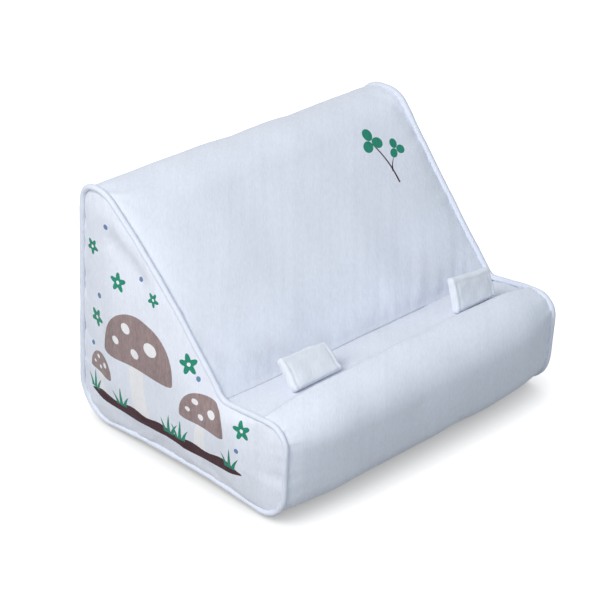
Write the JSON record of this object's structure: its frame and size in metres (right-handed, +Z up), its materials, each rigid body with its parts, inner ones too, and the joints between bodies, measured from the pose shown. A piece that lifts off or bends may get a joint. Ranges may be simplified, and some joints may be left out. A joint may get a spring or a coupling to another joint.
{
  "type": "tablet cushion stand",
  "caption": "Stuffed fabric wedge that props a tablet or book: a reclined backrest, a ledge behind a soft front roll, padded tabs on the ledge and piping round both sides.",
  "frame": {"origin": "on the surface the stand rests on, under the middle of its outer box", "axes": "X across the stand from the left side panel to the right, -Y towards the front roll, +Z up"},
  "size_m": [0.296, 0.2426, 0.2049],
  "materials": {
    "stuffing": "loose polyester fibre",
    "wrap_cloth": "short-pile velour, pale grey-blue",
    "base_cloth": "plain woven, grey",
    "side_cloth": "short-pile velour, pale grey-blue with a small printed motif",
    "trim_cloth": "short-pile velour, pale grey-blue"
  },
  "bodies": {
    "root": {"filling": "stuffing", "roll_panel": "wrap_cloth", "backrest_panel": "wrap_cloth", "base_panel": "base_cloth", "left_side_panel": "side_cloth", "right_side_panel": "side_cloth", "left_piping": "trim_cloth", "right_piping": "trim_cloth", "left_tab": "trim_cloth", "right_tab": "trim_cloth"}
  },
  "joints": []
}
